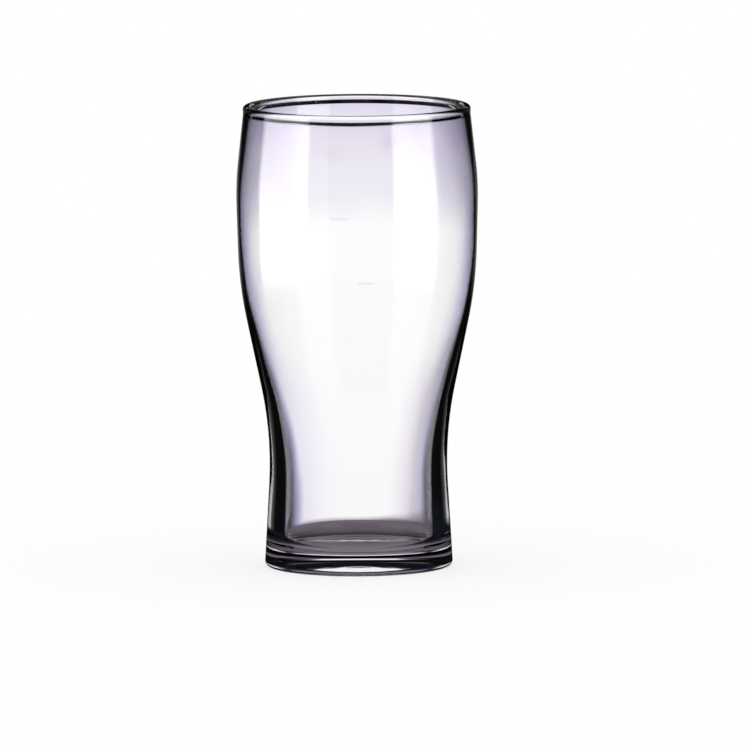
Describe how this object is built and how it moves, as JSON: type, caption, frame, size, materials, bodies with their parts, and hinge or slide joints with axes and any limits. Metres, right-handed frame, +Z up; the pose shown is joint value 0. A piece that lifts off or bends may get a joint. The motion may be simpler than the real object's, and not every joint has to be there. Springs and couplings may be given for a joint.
{
  "type": "lager glass",
  "caption": "Waisted clear beer glass with a bulged upper bowl, heavy base, hollow underside, rounded lip and plain printed fill lines on the front.",
  "frame": {"origin": "middle of the standing ring's plane, on the table", "axes": "+Z up along the glass's axis, -Y towards the front with the fill lines, +X to the right seen from the front"},
  "size_m": [0.084, 0.084, 0.161],
  "materials": {
    "clear_glass": "fire-polished soda-lime glass, very slightly lavender in the thick base",
    "fired_enamel": "pale grey screen-printed enamel, fired on"
  },
  "bodies": {
    "root": {"glass_body": "clear_glass", "upper_fill_line": "fired_enamel", "lower_fill_line": "fired_enamel"}
  },
  "joints": []
}
